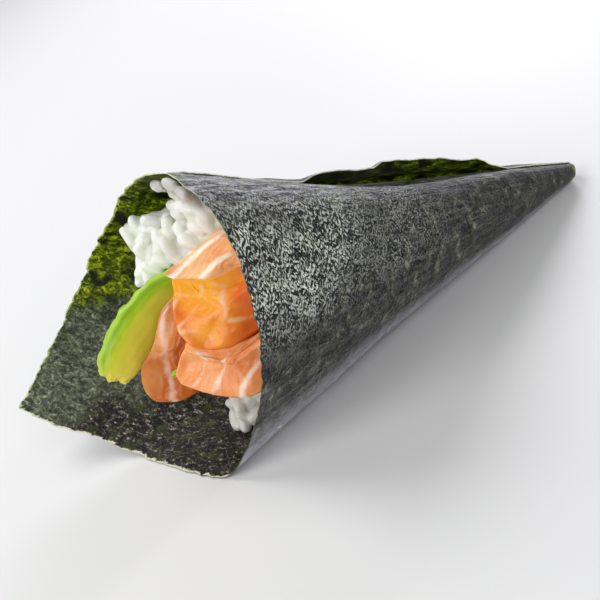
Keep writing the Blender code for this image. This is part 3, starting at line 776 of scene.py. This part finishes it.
def makeSlice(node, look, above):
    piece = copyNode(node, look["name"])
    refine(piece, 3, look["softening"])
    if node in ("salmon_middle", "salmon_lower"):
        pressUp(piece, above, 3.2, -0.25)
    points = getPoints(piece)
    spots = slopes(points)
    across, up, far = spots.T
    fatLine = np.full(len(points), 99.0)
    for line, startHalf, endHalf in look["lines"]:
        fatLine = np.minimum(fatLine, lineDistance(spots, line, startHalf, endHalf))
    fatLine = np.clip(fatLine, -2.0, 14.0)
    layer = (across * look["layers"][0] + up * look["layers"][1]) * far
    lift = (noiseAt(points / mm, 0.16, 11) + noiseAt(points / mm, 0.45, 12) * 0.5) * salmon["lumps"]
    lift += 0.10 * np.exp(-np.maximum(fatLine, 0.0) ** 2 / 0.3) + 0.06 * look["ribs"] * np.sin(layer * 5.6)
    pushOut(piece, lift)
    setFloats(piece, "fatLine", fatLine)
    setFloats(piece, "layer", layer)
    # painted shade: the colour deepens toward the front nori wall
    start, end, share = look["deeper"]
    setFloats(piece, "paintedWallShade", smoothStep(start, end, across) * share)
    # painted highlight: paler where the top slice curls under and on the middle slice's shoulder
    lip = np.zeros(len(points))
    if node == "salmon_top":
        lip = smoothStep(0.0, -0.6, getNormals(piece)[:, 2])
    if node == "salmon_middle":
        lip = smoothStep(-0.22, -0.14, across) * smoothStep(0.31, 0.37, up)
    setFloats(piece, "lip", lip)
    piece.data.materials.append(salmonMaterial(look))
    return piece


above = None
sliceTrees = []
for node, look in salmon["slices"].items():
    salmonSlice = makeSlice(node, look, above)
    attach(salmonSlice, "root")
    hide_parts(node)
    above = treeOf(salmonSlice)
    sliceTrees.append(above)
print("salmon:", len(sliceTrees), "slices")


avocado = {
    # middle line as (across, up, distance), half width in mm along it, and where the broad side faces
    "path": [(0.046, 0.300, 54.0), (0.050, 0.312, 68.0), (0.052, 0.318, 82.0), (0.050, 0.313, 94.0),
             (0.043, 0.290, 103.5), (0.034, 0.249, 111.0), (0.027, 0.212, 116.6), (0.021, 0.187, 119.8),
             (0.018, 0.176, 121.2)],
    "halfWide": [2.5, 3.3, 4.0, 4.6, 5.1, 5.3, 5.2, 4.0, 2.4],
    "face": (0.15, 0.84, -0.53),
    "steps": 200,
    # a crumb of it is stuck in the fold between two slices of salmon; size in mm
    "crumbAt": (-0.112, 0.21, 109.5), "crumbSize": (1.15, 0.6, 0.5), "crumbLean": 0.5,
}


# ripe avocado: buttery yellow that turns a fresh green toward the skin side, smooth and slightly waxy
def avocadoMaterial():
    mat, tree = newMaterial("avocadoRipeFlesh")
    where = addNode(tree, "TexCoord")
    place = addNode(tree, "Mapping", {"Vector": where.outputs["Object"], "Rotation": (0.4, 0.2, 0.9)})
    cloud = addNode(tree, "TexNoise", {"Vector": place, "Scale": 260.0, "Detail": 4.0})
    towardSkin, towardEnd = [addNode(tree, "Attribute", attribute_name=name).outputs["Fac"]
                             for name in ("towardSkin", "towardEnd")]
    shifted = addNode(tree, "Math", {0: cloud, 1: 0.22, 2: towardSkin}, operation="MULTIPLY_ADD")
    colour = setRamp(addNode(tree, "ValToRGB", {"Fac": shifted}), [
        (0.2, "#ecda4e"), (0.5, "#dbd242"), (0.72, "#c4cc32"), (0.83, "#98b81c"), (0.92, "#8fb81e"),
        (1.0, "#a5cc42")])
    pale = addNode(tree, "Mix", {0: towardEnd, 6: colour, 7: "#e0d260"}, data_type="RGBA")
    bump = addNode(tree, "Bump", {"Strength": 0.3, "Distance": 0.0002, "Height": cloud})
    surface = addNode(tree, "BsdfPrincipled", {
        "Base Color": pale, "Roughness": 0.34, "IOR": 1.42, "Specular IOR Level": 0.3, "Normal": bump,
        "Subsurface Weight": 0.35, "Subsurface Radius": (0.8, 1.0, 0.3), "Subsurface Scale": 0.0014})
    addNode(tree, "OutputMaterial", {"Surface": surface})
    return mat


def makeAvocado():
    piece = copyNode("avocado", "avocadoSlice")
    refine(piece, 3, 24)
    local = getPoints(piece) / mm - apex
    corners = np.array(fromSlopes(avocado["path"]))
    last = avocado["steps"] - 1
    path = np.array([[np.interp(t, range(len(corners)), corners[:, k]) for k in range(3)]
                     for t in np.linspace(0, len(corners) - 1, avocado["steps"])])
    nearest = np.argmin(((local[:, None, :] - path[None]) ** 2).sum(axis=2), axis=1)
    # a frame along the path gives each point its place across the slice and through it
    through = np.array(avocado["face"]) / np.linalg.norm(avocado["face"])
    ahead = np.gradient(path, axis=0)
    ahead /= np.linalg.norm(ahead, axis=1)[:, None]
    wide = np.cross(ahead, through)
    wide /= np.linalg.norm(wide, axis=1)[:, None]
    thick = np.cross(wide, ahead)
    across = ((local - path[nearest]) * wide[nearest]).sum(axis=1)
    depth = ((local - path[nearest]) * thick[nearest]).sum(axis=1)
    along = nearest / float(last) * (len(corners) - 1.0)
    share = across / np.interp(along, range(len(corners)), avocado["halfWide"])
    # a ridge and a groove beside the skin side, a torn lower end and an uneven edge
    ridge = 0.20 * np.exp(-((share + 0.84) / 0.14) ** 2) - 0.22 * np.exp(-((share + 0.55) / 0.12) ** 2)
    lift = ridge * smoothStep(0.6, -0.6, depth)
    lift = lift + noiseAt(local, 0.30, 31) * 0.18 + noiseAt(local, 0.9, 32) * 0.10
    lift += smoothStep(165, 196, nearest) * (noiseAt(local, 0.55, 33) * 0.8 + noiseAt(local, 1.3, 34) * 0.5)
    ragged = noiseAt(local * [1, 0.3, 1], 0.45, 35) * 2.0 + noiseAt(local, 0.8, 36)
    lift += np.clip(-share - 0.6, 0.0, 0.4) * ragged
    pushOut(piece, lift)
    setFloats(piece, "towardSkin", 0.5 - share * 0.5)
    setFloats(piece, "towardEnd", smoothStep(150, last, nearest) * 0.6)
    return piece


def makeCrumb():
    bpy.ops.object.select_all(action="DESELECT")
    bpy.ops.mesh.primitive_ico_sphere_add(subdivisions=4, radius=1.0, location=(0, 0, 0))
    piece = bpy.context.object
    piece.name = "avocadoCrumb"
    spot = Vector(toModel(fromSlopes([avocado["crumbAt"]]))[0])
    touch = min((tree.find_nearest(spot) for tree in sliceTrees), key=lambda hit: hit[3])[0]
    points = getPoints(piece)
    bumpy = 1.0 + noiseAt(points, 1.1, 41) * 0.6 + noiseAt(points, 2.6, 42) * 0.25
    points = points * bumpy[:, None] * avocado["crumbSize"]
    turned = Matrix.Rotation(avocado["crumbLean"], 3, "X")
    setPoints(piece, [turned @ Vector(q * mm) + touch for q in points])
    setFloats(piece, "towardSkin", np.full(len(points), 0.72))
    setFloats(piece, "towardEnd", np.zeros(len(points)))
    bpy.ops.object.shade_smooth()
    return piece


avocadoFlesh = avocadoMaterial()
avocadoSlice = makeAvocado()
avocadoSlice.data.materials.append(avocadoFlesh)
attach(avocadoSlice, "root")
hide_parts("avocado")
avocadoCrumb = makeCrumb()
avocadoCrumb.data.materials.append(avocadoFlesh)
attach(avocadoCrumb, "root")
print("avocado: a slice and a crumb")


rice = {
    "grainLength": 5.6, "grainWide": 3.1, "grainThick": 2.7,      # mm
    "grains": 340, "seed": 11, "tries": 9000, "crowdedTries": 4000,
    "coreInset": 1.4,       # mm that the core lies under the heap's surface
    "grainDepths": (1.7, 3.2),      # mm, likewise for the middles of the scattered grains
    # mm: rounded end of a grain, farthest push, least room to the wall, least depth in the heap, free hollow
    "roundEnd": 1.2, "pushLimit": 2.2, "wallRoom": 1.2, "heapDepth": 1.1, "hollow": 3.4,
    "spacing": 2.4,         # mm between the middles of two grains
    "clear": 0.12,          # mm between a grain and what it leans on
    "core": 0.8, "skin": 0.36,      # mm, fineness of the core and of the finished skin
    "keptFaces": 0.5,
    "frontFrom": 80.0,      # mm from the apex; nearer to it the rice lies hidden
    # grains set one by one where the heap shows most: both ends as (across, up, distance) of the heap's
    # surface
    "byHand": [
        ((0.143, 0.537, 92.5), (0.017, 0.575, 90.5)), ((0.012, 0.588, 90.5), (-0.035, 0.590, 89.6)),
        ((-0.030, 0.585, 89.3), (-0.102, 0.584, 89.2)), ((-0.064, 0.589, 88.6), (-0.064, 0.549, 87.9)),
        ((0.137, 0.479, 91.5), (0.018, 0.527, 89.6)), ((0.120, 0.462, 91.6), (-0.013, 0.516, 90.2)),
        ((0.134, 0.449, 97.0), (0.135, 0.442, 94.4)), ((0.223, 0.401, 101.3), (0.201, 0.362, 101.4)),
        ((0.105, 0.433, 99.4), (0.193, 0.355, 98.6)), ((0.158, 0.372, 101.6), (0.156, 0.337, 100.6)),
        ((0.093, 0.438, 96.6), (0.076, 0.381, 97.9)), ((0.072, 0.418, 96.6), (0.052, 0.387, 96.5)),
        ((0.101, 0.459, 93.4), (0.068, 0.420, 94.6)), ((0.074, 0.458, 92.2), (0.022, 0.430, 93.1)),
        ((-0.006, 0.508, 90.2), (-0.061, 0.519, 88.0)), ((-0.015, 0.485, 90.7), (-0.061, 0.478, 89.6)),
        ((0.012, 0.435, 93.2), (-0.010, 0.423, 91.9)), ((0.105, 0.358, 100.2), (0.071, 0.354, 97.4)),
        ((0.058, 0.377, 96.7), (0.038, 0.367, 95.3)), ((0.238, 0.280, 103.2), (0.164, 0.284, 103.6)),
        ((0.117, 0.343, 102.2), (0.091, 0.330, 100.0)), ((0.117, 0.319, 102.7), (0.105, 0.290, 103.1)),
        ((0.128, 0.269, 106.4), (0.129, 0.281, 104.4)), ((0.001, 0.534, 90.6), (-0.049, 0.536, 88.9)),
        ((-0.064, 0.552, 88.1), (-0.082, 0.518, 87.7)), ((-0.064, 0.514, 89.0), (-0.082, 0.486, 88.3)),
        ((-0.049, 0.046, 103.4), (-0.085, 0.049, 101.2)), ((-0.053, 0.029, 103.5), (-0.108, 0.016, 105.1)),
        ((-0.083, 0.033, 101.9), (-0.123, 0.017, 103.6)), ((-0.098, 0.043, 100.0), (-0.127, 0.026, 101.1)),
        ((-0.093, 0.058, 100.0), (-0.129, 0.059, 98.4)), ((-0.032, 0.024, 101.5), (-0.085, 0.020, 100.9)),
        ((-0.100, 0.018, 102.0), (-0.082, 0.022, 99.6))],
    # hollows that stay free of scattered grains
    "hollows": [
        (0.127, 0.469, 99.0), (-0.028, 0.569, 95.0), (0.006, 0.555, 91.0), (0.044, 0.513, 95.0),
        (0.088, 0.478, 93.5), (0.336, 0.281, 103.0), (0.141, 0.356, 103.0), (0.427, 0.196, 104.5)],
    "heart": (0.05, 0.42, 97.0),      # a place inside the heap
}


# steamed rice: white and milky, so that light sinks in and softens the shadows, with a moist shine;
# grains at the top and bottom are painted greyer as shade
def riceMaterial():
    mat, tree = newMaterial("riceSteamed")
    where = addNode(tree, "TexCoord")
    place = addNode(tree, "Mapping", {"Vector": where.outputs["Object"], "Rotation": (0.5, 0.3, 0.1)})
    cloud = addNode(tree, "TexNoise", {"Vector": place, "Scale": 300.0, "Detail": 3.0})
    plain = setRamp(addNode(tree, "ValToRGB", {"Fac": cloud}), [
        (0.3, "#e2e5da"), (0.55, "#ebece4"), (0.8, "#f2f1eb")])
    paintedRiceShade = addNode(tree, "Attribute", attribute_name="paintedRiceShade").outputs["Fac"]
    colour = addNode(tree, "Mix", {0: paintedRiceShade, 6: plain, 7: "#b3afac"}, data_type="RGBA")
    bump = addNode(tree, "Bump", {"Strength": 0.25, "Distance": 0.0001, "Height": cloud})
    surface = addNode(tree, "BsdfPrincipled", {
        "Base Color": colour, "Roughness": 0.35, "IOR": 1.4, "Normal": bump, "Subsurface Weight": 1.0,
        "Subsurface Radius": (1.0, 0.98, 0.9), "Subsurface Scale": 0.0035, "Specular IOR Level": 0.4})
    addNode(tree, "OutputMaterial", {"Surface": surface})
    return mat


def makeCore():
    # the heap drawn in a little, and more where grains will lie on it
    core = copyNode("rice", "riceBed")
    activate(core)
    remesh(core, rice["core"])
    points, normals = getPoints(core), getNormals(core)
    tree = treeOf(core)
    deepest = 20.0
    room = np.zeros(len(points))
    for i, (point, normal) in enumerate(zip(points, normals)):
        hit = tree.ray_cast(Vector(point - normal * 0.05 * mm), -Vector(normal), deepest * mm)
        room[i] = hit[3] / mm if hit[0] is not None else deepest
    spots = slopes(points)
    frontShare = smoothStep(rice["frontFrom"] - 4.0, rice["frontFrom"] + 4.0, spots[:, 2])
    inset = (rice["coreInset"] - noiseAt(points / mm, 0.5, 21) * 0.5) * frontShare + 0.25
    turn = np.degrees(np.arctan2(-spots[:, 0], spots[:, 1] + lowest + roll["floorCut"])) % 360.0
    pressed = drawnIn("tuck", turn, np.linalg.norm(points / mm - apex, axis=1))
    pushOut(core, -np.minimum(inset + pressed, room * 0.45))
    core.data.materials.append(riceMaterial())
    return core


def makeGrain():
    bpy.ops.object.select_all(action="DESELECT")
    bpy.ops.mesh.primitive_uv_sphere_add(segments=8, ring_count=8, radius=1.0, location=(0, 0, 0))
    grain = bpy.context.object
    bpy.ops.object.mode_set(mode="EDIT")
    bpy.ops.mesh.select_all(action="SELECT")
    bpy.ops.transform.rotate(value=math.pi / 2, orient_axis="Y", center_override=(0, 0, 0))
    bpy.ops.object.mode_set(mode="OBJECT")
    points = getPoints(grain)
    x = points[:, 0].copy()
    around = points[:, 1:] / np.maximum(np.linalg.norm(points[:, 1:], axis=1), 1e-6)[:, None]
    place = np.interp(np.abs(x), [0.0, 0.38, 0.71, 0.92, 1.0], [0.0, 0.42, 0.76, 0.95, 1.0])
    girth = np.interp(np.abs(x), [0.0, 0.38, 0.71, 0.92, 1.0], [1.0, 0.98, 0.87, 0.57, 0.0])
    girth = girth * np.where(x > 0.0, 1.0 - 0.14 * np.abs(x), 1.0)      # one end is slimmer
    points[:, 0] = np.sign(x) * place * rice["grainLength"] / 2
    points[:, 1] = around[:, 0] * girth * rice["grainWide"] / 2 + 0.35 * place ** 2
    points[:, 2] = around[:, 1] * girth * rice["grainThick"] / 2
    setPoints(grain, points * mm)
    return grain


riceBody = frame["nodes"]["rice"]
riceCore = makeCore()
bpy.context.view_layer.update()
blockers = [treeOf(frame["nodes"][name]) for name in (*salmon["slices"], "avocado")]
noriTree = treeOf(frame["nodes"]["nori"])
heapTree = treeOf(riceBody)

random.seed(rice["seed"])
grainPattern = makeGrain()
hollows = [Vector(q) for q in toModel(fromSlopes(rice["hollows"]))]
grains = []       # (centre, axis, side) of every grain
wallAcross, wallUp = section(np.arange(0.0, 360.0, 2.0))
wallTurn = np.degrees(np.arctan2(-(wallAcross - roll["middle"][0]), wallUp - roll["middle"][1])) % 360.0
wallFar = np.hypot(wallAcross - roll["middle"][0], wallUp - roll["middle"][1])
wallOrder = np.argsort(wallTurn)


def roomInside(spot):
    # distance (mm) from a point to the rolled wall, measured from the middle; negative outside
    across, up, distance = slopes(np.array([spot[:]]))[0]
    across, up = across - roll["middle"][0], up - roll["middle"][1]
    far = np.interp(math.degrees(math.atan2(-across, up)) % 360.0, wallTurn[wallOrder], wallFar[wallOrder],
                    period=360.0)
    return (far - math.hypot(across, up)) * distance


def depthInside(spot):
    # how deep a point lies in the heap of rice; negative outside
    near, normal, index, gap = heapTree.find_nearest(spot)
    return gap if (spot - near).dot(normal) < 0.0 else -gap


def clearOf(centre, axis, half, radius):
    # pushes a grain off the slices and the wall; gives up when it can't come free
    need = radius + rice["clear"] * mm
    for step in range(8):
        moved, hits = Vector((0, 0, 0)), 0
        for along in (-1.0, -0.5, 0.0, 0.5, 1.0):
            spot = centre + axis * (half * along)
            for tree in blockers + [noriTree]:
                near, normal, index, gap = tree.find_nearest(spot, 6.0 * mm)
                if near is None:
                    continue
                if tree is not noriTree and (spot - near).dot(normal) < 0.0:
                    moved += normal * (gap + need)
                    hits += 1
                elif gap < need:
                    moved += (spot - near).normalized() * (need - gap)
                    hits += 1
        if not hits:
            return centre
        centre = centre + moved / hits
    return None


def addGrain(centre, axis, check=True):
    axis = axis.normalized()
    half, radius = (rice["grainLength"] / 2 - rice["roundEnd"]) * mm, rice["grainWide"] / 2 * mm
    if check:
        start = centre.copy()
        centre = clearOf(centre, axis, half, radius)
        if centre is None or (centre - start).length > rice["pushLimit"] * mm:
            return
        if min(roomInside(centre + axis * (half * along)) for along in (-1.2, 0.0, 1.2)) < rice["wallRoom"]:
            return
        if min(depthInside(centre + axis * (half * along)) for along in (-1.0, 1.0)) < rice["heapDepth"] * mm:
            return
        middles = [centre + axis * (half * along) for along in (-1.0, 0.0, 1.0)]
        if min((middle - hollow).length for middle in middles for hollow in hollows) < rice["hollow"] * mm:
            return
    grains.append((centre, axis, Vector([random.uniform(-1, 1) for k in range(3)])))


def scatterGrains():
    faces = riceBody.data.polygons
    weights = []
    for face in faces:
        distance = slopes(np.array([face.center[:]]))[0][2]
        front = distance > rice["frontFrom"] and face.normal[0] < -0.15 and roomInside(face.center) > 1.8
        weights.append(face.area if front else 0.0)
    chances = np.cumsum(weights) / sum(weights)
    tries = 0
    while len(grains) < rice["grains"] and tries < rice["tries"]:
        tries += 1
        face = faces[int(np.searchsorted(chances, random.random()))]
        corners = [riceBody.data.vertices[i].co for i in face.vertices]
        a, b = random.random(), random.random()
        if a + b > 1.0:
            a, b = 1.0 - a, 1.0 - b
        spot = corners[0] + (corners[1] - corners[0]) * a + (corners[2] - corners[0]) * b
        spot = spot - face.normal * random.uniform(*rice["grainDepths"]) * mm
        gap = rice["spacing"] * mm * (1.0 if tries < rice["crowdedTries"] else 0.8)
        if any((spot - centre).length < gap for centre, axis, side in grains):
            continue
        tangent = face.normal.orthogonal().normalized()
        tangent = Matrix.Rotation(random.uniform(0.0, math.pi), 3, face.normal) @ tangent
        addGrain(spot, tangent + face.normal * random.uniform(-0.7, 0.7))
    print("grains:", len(grains), "after", tries, "tries")


def joinGrains(core):
    copies = []
    for centre, axis, side in grains:
        one = grainPattern.copy()
        one.data = grainPattern.data.copy()
        bpy.context.scene.collection.objects.link(one)
        up = axis.cross(side).normalized()
        size = random.uniform(0.9, 1.08)
        turn = Matrix((axis, up.cross(axis), up)).transposed().to_4x4()
        one.data.transform(Matrix.Translation(centre) @ turn @ Matrix.Diagonal((size, size, size, 1.0)))
        copies.append(one)
    bpy.data.objects.remove(grainPattern, do_unlink=True)
    activate(core)
    for one in copies:
        one.select_set(True)
    bpy.ops.object.join()


def dropCrumbs(core):
    # parts of the skin that touch nothing are taken off
    heart = Vector(toModel(fromSlopes([rice["heart"]]))[0])
    nearest = min(core.data.vertices, key=lambda v: (v.co - heart).length).index
    bpy.ops.object.mode_set(mode="EDIT")
    bpy.ops.mesh.select_mode(type="VERT")
    bpy.ops.mesh.select_all(action="DESELECT")
    bpy.ops.object.mode_set(mode="OBJECT")
    core.data.vertices[nearest].select = True
    bpy.ops.object.mode_set(mode="EDIT")
    bpy.ops.mesh.select_linked()
    bpy.ops.mesh.select_all(action="INVERT")
    bpy.ops.mesh.delete(type="VERT")
    bpy.ops.object.mode_set(mode="OBJECT")


def thinOut(core):
    # fewer faces, taken mostly where the rice lies hidden in the cone
    hidden = core.vertex_groups.new(name="hidden")
    deep = slopes(getPoints(core))[:, 2] < rice["frontFrom"]
    for chosen, weight in ((deep, 1.0), (~deep, 0.2)):
        hidden.add(np.nonzero(chosen)[0].tolist(), weight, "REPLACE")
    fewer = core.modifiers.new("fewer", "DECIMATE")
    fewer.ratio = rice["keptFaces"]
    fewer.vertex_group = "hidden"
    applyModifier(core, "fewer")
    core.vertex_groups.clear()


for ends in rice["byHand"]:
    first, last = [Vector(q) for q in toModel(fromSlopes(ends))]
    addGrain((first + last) / 2, last - first, check=False)
scatterGrains()
joinGrains(riceCore)
# sticky grains run into each other, so all of it becomes one skin with soft creases
remesh(riceCore, rice["skin"])
soften(riceCore, 2)
dropCrumbs(riceCore)
thinOut(riceCore)
bpy.ops.object.shade_smooth()
# painted shade: the topmost grains and those at the bottom are painted greyer
height = slopes(getPoints(riceCore))[:, 1]
paintedRiceShade = 0.85 * smoothStep(0.535, 0.56, height) + 0.45 * (1.0 - smoothStep(0.10, 0.15, height))
setFloats(riceCore, "paintedRiceShade", paintedRiceShade)
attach(riceCore, "root")
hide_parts("rice")
print("rice:", len(riceCore.data.polygons), "faces")


studio = {
    "floorSize": 6.0, "floorColour": "#dededd", "sky": "#eef0f2", "skyStrength": 0.20,
    # place and aim (m), width (m), power (W), colour
    "lights": {
        "topBackLight": ((-0.15, 0.36, 0.50), (0, 0, 0.03), 0.40, 2.0, "#ffffff"),
        "leftLight": ((-0.55, -0.12, 0.42), (-0.03, 0, 0.03), 0.45, 2.7, "#ffffff"),
        "frontFill": ((0.16, -0.62, 0.35), (0, 0, 0.03), 0.70, 1.5, "#ffffff"),
        "rightLight": ((0.62, -0.06, 0.24), (-0.02, -0.02, 0.04), 0.12, 0.9, "#ffffff"),
        "lowRightLight": ((0.38, -0.55, 0.06), (0.0, -0.01, 0.02), 0.20, 1.2, "#f2eeff"),
        "backRightLight": ((0.40, 0.52, 0.24), (0, 0, 0.03), 0.30, 2.4, "#f1efff"),
    },
    "lens": 62.45,      # mm, on a 36 mm wide sensor
    "cameraPlace": (-0.037912, -0.192916, 0.134440),
    "cameraRight": (0.8237, -0.4001, -0.4018), "cameraUp": (0.5471, 0.3745, 0.7486),
    "cameraAhead": (0.1491, 0.8365, -0.5274),
}


# a plain matt table top: pale grey, so that the soft shadows show
def floorMaterial():
    mat, tree = newMaterial("paleFloor")
    surface = addNode(tree, "BsdfPrincipled", {"Base Color": studio["floorColour"], "Roughness": 0.6})
    addNode(tree, "OutputMaterial", {"Surface": surface})
    return mat


bpy.ops.object.select_all(action="DESELECT")
bpy.ops.mesh.primitive_plane_add(size=studio["floorSize"], location=(0, 0, 0))
floor = bpy.context.object
floor.name = "floor"
floor.data.materials.append(floorMaterial())

world = bpy.data.worlds.new("studio")
bpy.context.scene.world = world
world.use_nodes = True
sky = world.node_tree.nodes["Background"]
sky.inputs["Color"].default_value = hexColour(studio["sky"])
sky.inputs["Strength"].default_value = studio["skyStrength"]

for name, (place, aim, width, power, colour) in studio["lights"].items():
    data = bpy.data.lights.new(name, "AREA")
    data.shape = "DISK"
    data.size = width
    data.energy = power
    data.color = hexColour(colour)[:3]
    lamp = bpy.data.objects.new(name, data)
    bpy.context.scene.collection.objects.link(lamp)
    lamp.location = place
    lamp.rotation_mode = "QUATERNION"
    lamp.rotation_quaternion = (Vector(aim) - Vector(place)).to_track_quat("-Z", "Y")

data = bpy.data.cameras.new("camera")
data.sensor_width = 36.0
data.lens = studio["lens"]
data.clip_start, data.clip_end = 0.01, 10.0
camera = bpy.data.objects.new("camera", data)
bpy.context.scene.collection.objects.link(camera)
axes = (studio["cameraRight"], studio["cameraUp"], -Vector(studio["cameraAhead"]))
camera.matrix_world = Matrix.Translation(studio["cameraPlace"]) @ Matrix(axes).transposed().to_4x4()
bpy.context.scene.camera = camera
bpy.context.scene.view_settings.view_transform = "Standard"
print("studio: floor,", len(studio["lights"]), "lights and camera")

bpy.context.view_layer.update()
